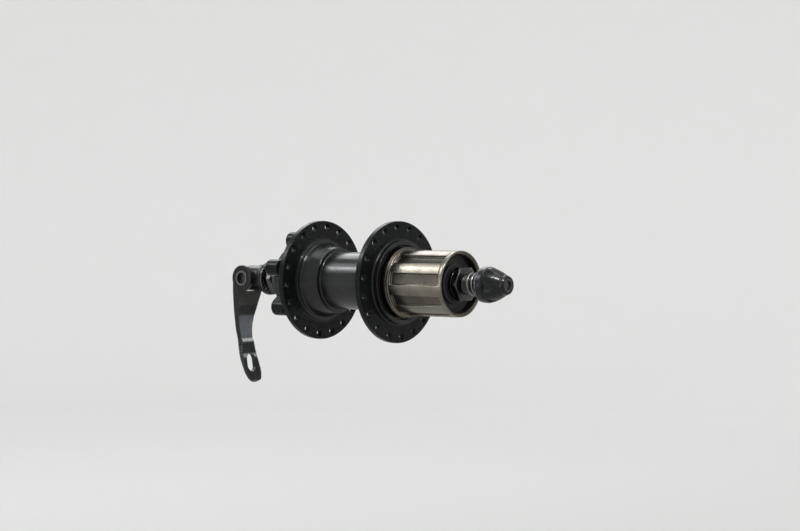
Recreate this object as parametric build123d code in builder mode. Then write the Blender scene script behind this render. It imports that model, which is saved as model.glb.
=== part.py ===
from build123d import *
from math import cos, radians, sin, sqrt
import os

# Rear disc hub assembly, millimetres.
# The axle lies along Y and +Z is up. The drive side is -Y, the quick-release lever is on +Y.
# The origin is on the axle, midway between the outer faces of the two locknuts.

# ---- Driving dimensions -------------------------------------------------------------------------
LOCKNUT_FACE = 67.5        # half of the 135 mm over-locknut dimension
AXLE_END = 73.0            # half length of the hollow axle
AXLE_R = 5.0               # M10 axle
AXLE_BORE_R = 2.8
ROD_R = 2.5                # M5 quick-release skewer
THREAD_GAP = 0.08          # running clearance of the skewer thread

FLANGE_R = 32.3
FLANGE_THICK = 3.2
RIGHT_FLANGE = -20.5       # flange centre planes
LEFT_FLANGE = 34.0
SPOKES_PER_FLANGE = 18
SPOKE_CIRCLE_R = 29.0
SPOKE_HOLE_R = 1.3
RIGHT_SPOKE_PHASE = 13.5   # degrees from +X towards +Z
LEFT_SPOKE_PHASE = 3.5

BARREL_R = 15.5
SHELL_CAVITY_R = 12.0
CUP_SEAT_R = 14.0
SOCKET_R = 12.2            # bore that takes the freehub core
COLLAR_R = 22.2
COLLAR_END = -25.5
COLLAR_BORE_R = 19.6
COLLAR_FLOOR = -23.6
CUP_SEAT_FLOOR = 44.0      # inner end of the left bearing seat
CAVITY_END = -3.0          # the hollow of the barrel ends at the web that the freehub bolts to
SOCKET_FLOOR = -13.0

DISC_FACE = 52.2           # rotor seat, 15.3 mm inside the locknut face
DISC_BACK = 43.5
DISC_BOLTS = 6
DISC_CIRCLE_R = 22.0
DISC_HOLE_R = 2.1          # tapping size of M5
DISC_LOBE_R = 4.6
DISC_VALLEY_R = 18.9
DISC_PHASE = 42.0
PILOT_R = 17.0
PILOT_END = 54.2

HEX_ACROSS = 17.0          # locknut across flats
HEX_FACE_R = 8.3           # its corners are turned down to this radius at each face
NUT_BACK = 63.5            # inner face of each locknut
WASHER_BACK = 62.0
CONE_FLATS = 15.0
LEFT_CONE_END = 58.5
RIGHT_CONE_END = -60.5

LEFT_ROW_Y = 49.0
LEFT_ROW_R = 9.7
RIGHT_ROW_Y = -53.5
RIGHT_ROW_R = 9.4
BALL_R = 3.175             # 1/4 inch
BALLS_PER_ROW = 9
BALL_GAP = 0.08
SMALL_ROW_R = 12.95
INNER_SMALL_Y = -30.0
OUTER_SMALL_Y = -46.0
SMALL_BALL_R = 1.5875      # 1/8 inch
SMALL_BALLS = 25
SMALL_GAP = 0.07

FREEHUB_START = -24.2
FREEHUB_END = -64.0
SPLINE_START = -29.9
SPLINE_TIP_R = 17.35
SPLINE_ROOT_R = 16.2
SPLINE_BAND = 2.4          # plain band at the outer end of the splines
SPLINES = 9
SPLINE_PHASE = 31.6        # centre of the narrow spline
SPLINE_WIDTH = 20.0        # degrees
NARROW_WIDTH = 14.0
BASE_R = 18.8
RACE_BORE_R = 13.4
RATCHET_SEAT_R = 15.0
LOCKRING_R = 15.2
LOCKRING_FLOOR = -57.0
CORE_R = 12.5
CORE_END = -43.0
CORE_BORE_R = 10.5
CORE_THREAD_END = -38.8    # the cup-cone's thread runs in to here
CORE_THROAT_R = 8.6
BOLT_R = 7.5
BOLT_HEAD_R = 8.5
BOLT_HEAD = -17.0          # seat of the bolt's head
BOLT_BORE_R = 5.7
CUP_CONE_BORE_R = 8.2
CUP_CONE_BACK = -50.25

RATCHET_START = -32.6
RATCHET_END = -42.4
RATCHET_TEETH = 24
RATCHET_TIP_R = 13.05
RATCHET_ROOT_R = 14.1
RATCHET_GAP = 13.0         # degrees of each 15-degree tooth pitch
RATCHET_PHASE = 14.3
PAWLS = 3
PAWL_PHASE = 20.0
PAWL_START = -33.6
PAWL_END = -37.6
PAWL_RING = -35.6          # middle plane of the pawl spring
PAWL_PIVOT_R = 10.7
PAWL_HEEL_R = 1.45
PAWL_LENGTH = 5.2

CUP_FACE = 71.0            # quick-release clamping faces
NUT_FACE = -78.5
CLAMP_R = 9.3
SPRING_POCKET_R = 6.5
SPRING_R = 5.75
SPRING_WIRE_R = 0.4
CUP_POCKET_FLOOR = 77.2
NUT_POCKET_FLOOR = -83.0
NUT_THREAD_END = -92.0
NUT_TIP = -94.4
INSERT_R = 3.6
ROD_END = -93.2
CAM_Y = 86.0
CAM_LIFT = 0.7
CAM_R = 2.8
JOURNAL_R = 3.6
JOURNAL_GAP = 0.05
EYE_GAP = 0.3
HOUSING_R = 7.0
HOUSING_END_R = 7.2
JOURNAL_END = 7.2
CAP_START = 8.5            # the nut on the far end of the cam, along X
CAP_END = 10.4
CAP_R = 4.6
CAP_THREAD_R = 2.2
CAM_HEAD_R = 4.3
ROD_HEAD_R = 5.2
ROD_HEAD_HALF = 3.0        # half thickness of the flattened rod head
ROD_HEAD_START = 80.0
LEVER_OUT = -9.6           # outer face of the lever boss, along X
LEVER_IN = -7.3
CHEEK_IN = 7.3             # the lever's second cheek, on the far side of the housing
CHEEK_OUT = 8.4
LEVER_BOSS_R = 7.3
LEVER_ROOT = -7.4          # top of the blade, just under the housing

os.makedirs("parts", exist_ok=True)


# ---- Helpers ------------------------------------------------------------------------------------
def turned(*points, mode=Mode.ADD):
    """Revolve a closed outline of (radius, y) points about the axle."""
    with BuildSketch(Plane.XY) as outline:
        with BuildLine():
            Polyline(*points, close=True)
        make_face()
    revolve(outline.sketch, axis=Axis.Y, mode=mode)


def tube(outer, inner, start, end, mode=Mode.ADD):
    """Add a plain ring between two places on the axle."""
    turned((inner, start), (outer, start), (outer, end), (inner, end), mode=mode)


def across(y, angle=0.0):
    """The plane across the axle at y, seen from the drive side towards +Y."""
    return Plane((0, y, 0), x_dir=(cos(radians(angle)), 0, sin(radians(angle))), z_dir=(0, -1, 0))


def polar(radius, degrees, y):
    """A point at an angle from +X towards +Z."""
    return (radius * cos(radians(degrees)), y, radius * sin(radians(degrees)))


def torus_at(y, major, minor):
    """Cut a ball groove round the axle."""
    with Locations(across(y)):
        Torus(major, minor, mode=Mode.SUBTRACT)


def cup_outline(row_r, row_y, side, floor_r, seat_r, back, mouth):
    """Section of a bearing cup whose mouth faces the given side."""
    race = BALL_R + BALL_GAP
    with BuildSketch(Plane.XY) as section:
        with BuildLine():
            Polyline(
                (row_r, row_y - side * race),
                (floor_r, row_y - side * race),
                (floor_r, back),
                (seat_r, back),
                (seat_r, mouth),
                (row_r + race, mouth),
                (row_r + race, row_y),
            )
            CenterArc((row_r, row_y), race, 0, -90 * side)
        make_face()
    revolve(section.sketch, axis=Axis.Y)


def cone_outline(row_r, row_y, side, nose, end):
    """Section of a bearing cone threaded on the axle."""
    race = BALL_R + BALL_GAP
    lift = radians(65)
    shoulder = row_r - race * cos(lift)
    with BuildSketch(Plane.XY) as section:
        with BuildLine():
            Polyline(
                (shoulder, row_y + side * race * sin(lift)),
                (shoulder, end),
                (AXLE_R, end),
                (AXLE_R, nose),
                (row_r - race, nose),
                (row_r - race, row_y),
            )
            CenterArc((row_r, row_y), race, 180, -65 * side)
        make_face()
    revolve(section.sketch, axis=Axis.Y)
    return shoulder


def ball_row(row_r, row_y, ball_r, count):
    """Place one row of balls."""
    for step in range(count):
        with Locations(polar(row_r, 360 / count * step, row_y)):
            Sphere(ball_r)


def hexagon(across_flats, inner, start, end):
    """A hexagon nut between two places on the axle, with turned corners."""
    corner = across_flats / sqrt(3)
    bevel = 0.9 if end > start else -0.9
    with BuildSketch(across(start)) as outline:
        RegularPolygon(across_flats / 2, 6, major_radius=False)
        Circle(inner, mode=Mode.SUBTRACT)
    extrude(outline.sketch, amount=start - end)
    turned(
        (0, start),
        (HEX_FACE_R, start),
        (corner, start + bevel),
        (corner, end - bevel),
        (HEX_FACE_R, end),
        (0, end),
        mode=Mode.INTERSECT,
    )


def coil(radius, wire_r, start, end, turns):
    """A short helical spring round the axle."""
    pitch = (end - start) / turns
    with BuildLine() as path:
        Helix(pitch, end - start, radius, center=(0, start, 0), direction=(0, 1, 0))
    with BuildSketch(Plane(path.line @ 0, z_dir=path.line % 0)) as section:
        Circle(wire_r)
    sweep(section.sketch, path.line, is_frenet=True)


# ---- Axle group ---------------------------------------------------------------------------------
with BuildPart() as axle:
    tube(AXLE_R, AXLE_BORE_R, -AXLE_END, AXLE_END)
    chamfer(axle.edges().filter_by(GeomType.CIRCLE).group_by(SortBy.RADIUS)[-1], 0.6)
axle.part.label = "axle"
export_step(axle.part, "parts/axle.step")


def cone_flats(end, side):
    """Two spanner flats at the outer end of a cone."""
    for sign in (1, -1):
        with Locations((0, end - side * 1.1, sign * (CONE_FLATS / 2 + 2))):
            Box(30, 2.2, 4, mode=Mode.SUBTRACT)


with BuildPart() as left_cone:
    left_cone_r = cone_outline(LEFT_ROW_R, LEFT_ROW_Y, 1, 46.8, LEFT_CONE_END)
    cone_flats(LEFT_CONE_END, 1)
left_cone.part.label = "left_cone"
export_step(left_cone.part, "parts/left_cone.step")

with BuildPart() as right_cone:
    right_cone_r = cone_outline(RIGHT_ROW_R, RIGHT_ROW_Y, -1, -51.3, RIGHT_CONE_END)
    cone_flats(RIGHT_CONE_END, -1)
right_cone.part.label = "right_cone"
export_step(right_cone.part, "parts/right_cone.step")

with BuildPart() as left_cone_seal:
    turned(
        (left_cone_r, 54.7),
        (14.6, 54.7),
        (14.6, 55.4),
        (12.6, 56.2),
        (left_cone_r + 1.0, 56.2),
        (left_cone_r, 55.9),
    )
left_cone_seal.part.label = "left_cone_seal"
export_step(left_cone_seal.part, "parts/left_cone_seal.step")

with BuildPart() as right_cone_seal:
    turned(
        (right_cone_r, -59.3),
        (10.4, -59.3),
        (10.4, -59.9),
        (9.2, -60.5),
        (9.2, -61.5),
        (8.6, -61.5),
        (8.6, -60.5),
        (right_cone_r, -60.5),
    )
right_cone_seal.part.label = "right_cone_seal"
export_step(right_cone_seal.part, "parts/right_cone_seal.step")

with BuildPart() as left_spacer:
    tube(8.0, AXLE_R, LEFT_CONE_END, WASHER_BACK)
    chamfer(left_spacer.edges().filter_by(GeomType.CIRCLE).group_by(SortBy.RADIUS)[-1], 0.4)
left_spacer.part.label = "left_spacer"
export_step(left_spacer.part, "parts/left_spacer.step")

with BuildPart() as right_spacer:
    tube(7.8, AXLE_R, -WASHER_BACK, RIGHT_CONE_END)
right_spacer.part.label = "right_spacer"
export_step(right_spacer.part, "parts/right_spacer.step")

for side, end_name in ((1, "left"), (-1, "right")):
    with BuildPart() as lock_washer:
        tube(8.5, AXLE_R, side * WASHER_BACK, side * NUT_BACK)
    lock_washer.part.label = end_name + "_lock_washer"
    export_step(lock_washer.part, "parts/" + end_name + "_lock_washer.step")

    with BuildPart() as locknut:
        hexagon(HEX_ACROSS, AXLE_R, side * NUT_BACK, side * LOCKNUT_FACE)
    locknut.part.label = end_name + "_locknut"
    export_step(locknut.part, "parts/" + end_name + "_locknut.step")

# ---- Hub shell ----------------------------------------------------------------------------------
half_flange = FLANGE_THICK / 2
with BuildPart() as hub_shell:
    # outside: right collar, right flange, flare, barrel, step, cone, left flange, neck
    with BuildSketch(Plane.XY):
        with BuildLine():
            Polyline(
                (0, COLLAR_END),
                (COLLAR_R, COLLAR_END),
                (COLLAR_R, RIGHT_FLANGE - half_flange - 0.8),
                (COLLAR_R + 0.8, RIGHT_FLANGE - half_flange),
                (FLANGE_R, RIGHT_FLANGE - half_flange),
                (FLANGE_R, RIGHT_FLANGE + half_flange),
                (21.5, RIGHT_FLANGE + half_flange),
                (20.6, -18.0),
            )
            ThreePointArc((20.6, -18.0), (17.2, -15.6), (BARREL_R, -11.6))
            Polyline(
                (BARREL_R, -11.6),
                (BARREL_R, 20.5),
                (BARREL_R + 0.5, 21.1),
                (17.4, 21.1),
                (17.7, 21.4),
                (20.3, 30.2),
                (20.7, 30.6),
                (20.7, 31.3),
                (21.7, 31.3),
                (22.1, 31.7),
                (22.1, LEFT_FLANGE - half_flange),
                (FLANGE_R, LEFT_FLANGE - half_flange),
                (FLANGE_R, LEFT_FLANGE + half_flange),
                (19.4, LEFT_FLANGE + half_flange),
                (17.5, LEFT_FLANGE + half_flange + 1.9),
                (17.5, DISC_FACE),
                (PILOT_R, DISC_FACE),
                (PILOT_R, PILOT_END),
                (0, PILOT_END),
                (0, COLLAR_END),
            )
        make_face()
    revolve(axis=Axis.Y)
    fillet(
        hub_shell.edges().filter_by(GeomType.CIRCLE).filter_by(lambda e: abs(e.radius - FLANGE_R) < 0.01),
        0.7,
    )
    # six-lobed rotor mount
    with BuildSketch(across(DISC_FACE)) as lobes:
        Circle(DISC_VALLEY_R)
        with PolarLocations(DISC_CIRCLE_R, DISC_BOLTS, start_angle=DISC_PHASE):
            Circle(DISC_LOBE_R)
        fillet(lobes.vertices(), 3.0)
        Circle(PILOT_R - 1.0, mode=Mode.SUBTRACT)
    extrude(lobes.sketch, amount=DISC_FACE - DISC_BACK)
    # inside: cup seat, cavity, bolt hole, socket and the collar's counterbore
    tube(CUP_SEAT_R, 0, CUP_SEAT_FLOOR, PILOT_END, mode=Mode.SUBTRACT)
    tube(SHELL_CAVITY_R, 0, CAVITY_END, CUP_SEAT_FLOOR, mode=Mode.SUBTRACT)
    tube(BOLT_R, 0, SOCKET_FLOOR, CAVITY_END, mode=Mode.SUBTRACT)
    tube(SOCKET_R, 0, COLLAR_FLOOR, SOCKET_FLOOR, mode=Mode.SUBTRACT)
    tube(COLLAR_BORE_R, 0, COLLAR_END, COLLAR_FLOOR, mode=Mode.SUBTRACT)
    # threaded holes for the rotor
    with BuildSketch(across(DISC_FACE)) as rotor_holes:
        with PolarLocations(DISC_CIRCLE_R, DISC_BOLTS, start_angle=DISC_PHASE):
            Circle(DISC_HOLE_R)
    extrude(rotor_holes.sketch, amount=DISC_FACE - DISC_BACK, mode=Mode.SUBTRACT)
    # spoke holes, eased on both faces
    for flange_y, phase in ((RIGHT_FLANGE, RIGHT_SPOKE_PHASE), (LEFT_FLANGE, LEFT_SPOKE_PHASE)):
        with BuildSketch(across(flange_y + half_flange)) as spoke_holes:
            with PolarLocations(SPOKE_CIRCLE_R, SPOKES_PER_FLANGE, start_angle=phase):
                Circle(SPOKE_HOLE_R)
        extrude(spoke_holes.sketch, amount=FLANGE_THICK, mode=Mode.SUBTRACT)
hub_shell.part.label = "hub_shell"
export_step(hub_shell.part, "parts/hub_shell.step")

with BuildPart() as left_bearing_cup:
    cup_outline(LEFT_ROW_R, LEFT_ROW_Y, 1, CUP_CONE_BORE_R, CUP_SEAT_R, CUP_SEAT_FLOOR, 53.0)
left_bearing_cup.part.label = "left_bearing_cup"
export_step(left_bearing_cup.part, "parts/left_bearing_cup.step")

with BuildPart() as left_dust_cover:
    turned(
        (left_cone_r + 0.3, 53.0),
        (CUP_SEAT_R, 53.0),
        (CUP_SEAT_R, PILOT_END),
        (CUP_SEAT_R - 0.8, PILOT_END),
        (CUP_SEAT_R - 1.4, 53.6),
        (left_cone_r + 0.3, 53.6),
    )
left_dust_cover.part.label = "left_dust_cover"
export_step(left_dust_cover.part, "parts/left_dust_cover.step")

# ---- Freehub, the parts fixed to the shell ------------------------------------------------------
small_race = SMALL_BALL_R + SMALL_GAP
with BuildPart() as freehub_core:
    turned(
        (BOLT_R, SOCKET_FLOOR),
        (SOCKET_R, SOCKET_FLOOR),
        (SOCKET_R, COLLAR_FLOOR),
        (CORE_R, COLLAR_FLOOR),
        (CORE_R, CORE_END),
        (CORE_BORE_R, CORE_END),
        (CORE_BORE_R, CORE_THREAD_END),
        (CORE_THROAT_R, CORE_THREAD_END),
        (CORE_THROAT_R, BOLT_HEAD),
        (BOLT_R, BOLT_HEAD),
    )
    torus_at(INNER_SMALL_Y, SMALL_ROW_R, small_race)
    # pawl pockets: a round seat for the heel and a slot for the arm
    for step in range(PAWLS):
        turn = PAWL_PHASE + 360 / PAWLS * step
        with BuildSketch(across(PAWL_START + 0.2, turn)) as pocket:
            with Locations((PAWL_PIVOT_R, 0)):
                Circle(PAWL_HEEL_R + 0.15)
            with Locations((PAWL_PIVOT_R + 1.0, PAWL_LENGTH / 2 + 0.2)):
                Rectangle(3.6, PAWL_LENGTH + 0.9)
        extrude(pocket.sketch, amount=PAWL_START - PAWL_END + 0.4, mode=Mode.SUBTRACT)
    # groove for the pawl spring, open to the outside
    tube(CORE_R, CORE_R - 0.9, PAWL_RING - 0.5, PAWL_RING + 0.5, mode=Mode.SUBTRACT)
freehub_core.part.label = "freehub_core"
export_step(freehub_core.part, "parts/freehub_core.step")

with BuildPart() as freehub_fixing_bolt:
    tube(BOLT_R, BOLT_BORE_R, BOLT_HEAD, CAVITY_END - 0.4)
    tube(BOLT_HEAD_R, BOLT_BORE_R, BOLT_HEAD - 4.0, BOLT_HEAD)
    with BuildSketch(across(BOLT_HEAD - 0.6)) as key:
        RegularPolygon(6.2, 6)
    extrude(key.sketch, amount=3.4, mode=Mode.SUBTRACT)
freehub_fixing_bolt.part.label = "freehub_fixing_bolt"
export_step(freehub_fixing_bolt.part, "parts/freehub_fixing_bolt.step")

with BuildPart() as freehub_cup_cone:
    cup_outline(RIGHT_ROW_R, RIGHT_ROW_Y, -1, CUP_CONE_BORE_R, 14.6, CUP_CONE_BACK + 0.04, LOCKRING_FLOOR)
    tube(CORE_R, CUP_CONE_BORE_R, CUP_CONE_BACK, CORE_END)
    tube(CORE_BORE_R, CUP_CONE_BORE_R, CORE_END, CORE_THREAD_END - 0.2)
    torus_at(OUTER_SMALL_Y, SMALL_ROW_R, small_race)
freehub_cup_cone.part.label = "freehub_cup_cone"
export_step(freehub_cup_cone.part, "parts/freehub_cup_cone.step")

with BuildPart() as pawl_spring:
    tube(CORE_R - 0.25, CORE_R - 0.75, PAWL_RING - 0.35, PAWL_RING + 0.35)
    # the ring is open between its two ends and cut away over each pawl
    for step in range(PAWLS):
        with BuildSketch(across(PAWL_RING + 0.5, PAWL_PHASE + 360 / PAWLS * step)) as window:
            with Locations((PAWL_PIVOT_R + 1.0, PAWL_LENGTH / 2 + 0.2)):
                Rectangle(4.4, PAWL_LENGTH + 5.0)
        extrude(window.sketch, amount=1.2, mode=Mode.SUBTRACT)
pawl_spring.part.label = "pawl_spring"
export_step(pawl_spring.part, "parts/pawl_spring.step")

# ---- Pawls --------------------------------------------------------------------------------------
for step in range(PAWLS):
    turn = PAWL_PHASE + 360 / PAWLS * step
    with BuildPart() as pawl:
        with BuildSketch(across(PAWL_START, turn)) as profile:
            with Locations((PAWL_PIVOT_R, 0)):
                Circle(PAWL_HEEL_R)
            with BuildLine():
                Polyline(
                    (PAWL_PIVOT_R - 0.6, 0),
                    (PAWL_PIVOT_R + 1.3, 0),
                    (PAWL_PIVOT_R + 0.75, PAWL_LENGTH - 0.6),
                    (PAWL_PIVOT_R + 0.2, PAWL_LENGTH),
                    (PAWL_PIVOT_R - 0.5, PAWL_LENGTH - 0.5),
                    close=True,
                )
            make_face()
        extrude(profile.sketch, amount=PAWL_START - PAWL_END)
    pawl.part.label = f"pawl_{step + 1}"
    export_step(pawl.part, f"parts/pawl_{step + 1}.step")

# ---- Balls --------------------------------------------------------------------------------------
with BuildPart() as left_balls:
    ball_row(LEFT_ROW_R, LEFT_ROW_Y, BALL_R, BALLS_PER_ROW)
left_balls.part.label = "left_balls"
export_step(left_balls.part, "parts/left_balls.step")

with BuildPart() as right_balls:
    ball_row(RIGHT_ROW_R, RIGHT_ROW_Y, BALL_R, BALLS_PER_ROW)
right_balls.part.label = "right_balls"
export_step(right_balls.part, "parts/right_balls.step")

with BuildPart() as freehub_inner_balls:
    ball_row(SMALL_ROW_R, INNER_SMALL_Y, SMALL_BALL_R, SMALL_BALLS)
freehub_inner_balls.part.label = "freehub_inner_balls"
export_step(freehub_inner_balls.part, "parts/freehub_inner_balls.step")

with BuildPart() as freehub_outer_balls:
    ball_row(SMALL_ROW_R, OUTER_SMALL_Y, SMALL_BALL_R, SMALL_BALLS)
freehub_outer_balls.part.label = "freehub_outer_balls"
export_step(freehub_outer_balls.part, "parts/freehub_outer_balls.step")

# ---- Freehub body and what turns with it --------------------------------------------------------
with BuildPart() as freehub_body:
    turned(
        (RACE_BORE_R, FREEHUB_START),
        (BASE_R - 0.5, FREEHUB_START),
        (BASE_R, FREEHUB_START - 0.5),
        (BASE_R, -28.0),
        (SPLINE_TIP_R, -28.4),
        (SPLINE_TIP_R, SPLINE_START),
        (SPLINE_ROOT_R, SPLINE_START),
        (SPLINE_ROOT_R, FREEHUB_END + SPLINE_BAND),
        (SPLINE_TIP_R - 0.15, FREEHUB_END + SPLINE_BAND),
        (SPLINE_TIP_R - 0.15, FREEHUB_END + 0.4),
        (SPLINE_TIP_R - 0.5, FREEHUB_END),
        (LOCKRING_R + 1.1, FREEHUB_END),
        (LOCKRING_R, FREEHUB_END + 0.9),
        (LOCKRING_R, LOCKRING_FLOOR),
        (RATCHET_SEAT_R, LOCKRING_FLOOR),
        (RATCHET_SEAT_R, RATCHET_START),
        (RACE_BORE_R, RATCHET_START),
    )
    torus_at(INNER_SMALL_Y, SMALL_ROW_R, small_race)
    # splines, rooted a little inside the body
    with BuildSketch(across(SPLINE_START)) as ribs:
        for step in range(SPLINES):
            width = NARROW_WIDTH if step == 0 else SPLINE_WIDTH
            middle = SPLINE_PHASE + 360 / SPLINES * step
            start = middle - width / 2
            with BuildLine():
                tip = CenterArc((0, 0), SPLINE_TIP_R, start, width)
                root = CenterArc((0, 0), SPLINE_ROOT_R - 0.3, start, width)
                Line(tip @ 0, root @ 0)
                Line(tip @ 1, root @ 1)
            make_face()
    extrude(ribs.sketch, amount=SPLINE_START - FREEHUB_END - SPLINE_BAND)
freehub_body.part.label = "freehub_body"
export_step(freehub_body.part, "parts/freehub_body.step")

with BuildPart() as ratchet_ring:
    tube(RATCHET_SEAT_R, RATCHET_TIP_R, RATCHET_END, RATCHET_START)
    # sawtooth gaps: a long ramp that ends in a steep drive face
    for step in range(RATCHET_TEETH):
        ramp = RATCHET_PHASE + 360 / RATCHET_TEETH * step
        face = ramp + RATCHET_GAP
        inside = RATCHET_TIP_R * 0.98
        with BuildSketch(across(RATCHET_START)) as gap:
            with BuildLine():
                Polyline(
                    (inside * cos(radians(ramp)), inside * sin(radians(ramp))),
                    (RATCHET_TIP_R * cos(radians(ramp)), RATCHET_TIP_R * sin(radians(ramp))),
                    (RATCHET_ROOT_R * cos(radians(face)), RATCHET_ROOT_R * sin(radians(face))),
                    (inside * cos(radians(face)), inside * sin(radians(face))),
                    close=True,
                )
            make_face()
        extrude(gap.sketch, amount=RATCHET_START - RATCHET_END, mode=Mode.SUBTRACT)
ratchet_ring.part.label = "ratchet_ring"
export_step(ratchet_ring.part, "parts/ratchet_ring.step")

with BuildPart() as outer_race_ring:
    tube(RATCHET_SEAT_R, RACE_BORE_R, -49.6, RATCHET_END)
    torus_at(OUTER_SMALL_Y, SMALL_ROW_R, small_race)
outer_race_ring.part.label = "outer_race_ring"
export_step(outer_race_ring.part, "parts/outer_race_ring.step")

with BuildPart() as freehub_dust_seal:
    turned(
        (right_cone_r + 0.3, -57.4),
        (LOCKRING_R, -57.4),
        (LOCKRING_R, -58.9),
        (LOCKRING_R - 1.2, -58.9),
        (LOCKRING_R - 1.8, -58.3),
        (right_cone_r + 0.3, -58.3),
    )
freehub_dust_seal.part.label = "freehub_dust_seal"
export_step(freehub_dust_seal.part, "parts/freehub_dust_seal.step")

# ---- Quick release, lever end -------------------------------------------------------------------
with BuildPart() as cam_cavity:
    with BuildSketch(Plane.YZ.offset(-ROD_HEAD_HALF - 0.15)):
        with Locations((CAM_Y + CAM_LIFT, 0)):
            Circle(ROD_HEAD_R + EYE_GAP)
        with Locations(((78.0 + CAM_Y) / 2, 0)):
            Rectangle(CAM_Y - 78.0 + 1.4, 2 * (ROD_HEAD_R + EYE_GAP))
    extrude(amount=2 * ROD_HEAD_HALF + 0.3)

with BuildPart() as qr_housing:
    turned(
        (ROD_R + 0.3, CUP_POCKET_FLOOR),
        (SPRING_POCKET_R, CUP_POCKET_FLOOR),
        (SPRING_POCKET_R, CUP_FACE + 1.3),
        (CLAMP_R, CUP_FACE + 1.3),
        (CLAMP_R, CUP_FACE + 2.2),
        (8.2, CUP_FACE + 4.2),
        (HOUSING_R + 0.1, CUP_FACE + 6.0),
        (HOUSING_R, CUP_FACE + 6.6),
        (HOUSING_R, 94.0),
        (ROD_R + 0.3, 94.0),
    )
    with BuildSketch(Plane.XY) as plug:
        with Locations(((ROD_R + 0.3) / 2, 93.0)):
            Rectangle(ROD_R + 0.3, 2.0)
    revolve(plug.sketch, axis=Axis.Y)
    # outer end rounded about the cam axis
    with BuildSketch(Plane.YZ.offset(-12)) as side_view:
        with Locations((CAM_Y, 0)):
            Circle(HOUSING_END_R)
        with Locations((CAM_Y - 10, 0)):
            Rectangle(20, 24)
    extrude(side_view.sketch, amount=24, mode=Mode.INTERSECT)
    add(cam_cavity.part, mode=Mode.SUBTRACT)
    with BuildSketch(Plane.YZ.offset(-12)) as journal_hole:
        with Locations((CAM_Y, 0)):
            Circle(JOURNAL_R + JOURNAL_GAP)
    extrude(journal_hole.sketch, amount=24, mode=Mode.SUBTRACT)
qr_housing.part.label = "qr_housing"
export_step(qr_housing.part, "parts/qr_housing.step")


def clamp_ring(face, side):
    """A steel ring with radial teeth on its clamping face."""
    teeth = 24
    tube(CLAMP_R - 0.15, SPRING_POCKET_R, face, face + side * 1.3)
    for step in range(teeth):
        with BuildSketch(across(face + 0.35 * side, 360 / teeth * step)) as groove:
            with Locations(((CLAMP_R + SPRING_POCKET_R) / 2, 0)):
                Rectangle(3.4, 0.8)
        extrude(groove.sketch, amount=0.7 * side, mode=Mode.SUBTRACT)


with BuildPart() as qr_clamp_ring:
    clamp_ring(CUP_FACE, 1)
qr_clamp_ring.part.label = "qr_clamp_ring"
export_step(qr_clamp_ring.part, "parts/qr_clamp_ring.step")

with BuildPart() as left_spring:
    coil(SPRING_R, SPRING_WIRE_R, CUP_FACE + 0.6, CUP_POCKET_FLOOR - 0.6, 2.5)
left_spring.part.label = "left_spring"
export_step(left_spring.part, "parts/left_spring.step")

with BuildPart() as cam_shaft:
    with BuildSketch(Plane.YZ.offset(LEVER_OUT - 0.4)):
        with Locations((CAM_Y, 0)):
            Circle(CAM_HEAD_R)
    extrude(amount=LEVER_IN - LEVER_OUT + 0.4)
    with BuildSketch(Plane.YZ.offset(LEVER_IN)) as journal:
        with Locations((CAM_Y, 0)):
            Circle(JOURNAL_R)
    extrude(journal.sketch, amount=JOURNAL_END - LEVER_IN)
    # narrow the middle to the eccentric
    with BuildSketch(Plane.YZ.offset(-ROD_HEAD_HALF - 0.1)) as throat:
        with Locations((CAM_Y, 0)):
            Circle(JOURNAL_R + 1)
        with Locations((CAM_Y + CAM_LIFT, 0)):
            Circle(CAM_R, mode=Mode.SUBTRACT)
    extrude(throat.sketch, amount=2 * ROD_HEAD_HALF + 0.2, mode=Mode.SUBTRACT)
    with BuildSketch(Plane.YZ.offset(JOURNAL_END)) as stub:
        with Locations((CAM_Y, 0)):
            Circle(CAP_THREAD_R)
    extrude(stub.sketch, amount=CAP_END - JOURNAL_END)
    # recess in the visible end
    with BuildSketch(Plane.YZ.offset(LEVER_OUT - 0.4)) as recess:
        with Locations((CAM_Y, 0)):
            Circle(3.0)
    extrude(recess.sketch, amount=2.0, mode=Mode.SUBTRACT)
cam_shaft.part.label = "cam_shaft"
export_step(cam_shaft.part, "parts/cam_shaft.step")

with BuildPart() as cam_cap_nut:
    with BuildSketch(Plane.YZ.offset(CAP_START)):
        with Locations((CAM_Y, 0)):
            Circle(CAP_R)
            Circle(CAP_THREAD_R, mode=Mode.SUBTRACT)
    extrude(amount=CAP_END - CAP_START)
    chamfer(cam_cap_nut.edges().filter_by(GeomType.CIRCLE).group_by(SortBy.RADIUS)[-1], 0.5)
cam_cap_nut.part.label = "cam_cap_nut"
export_step(cam_cap_nut.part, "parts/cam_cap_nut.step")

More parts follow.
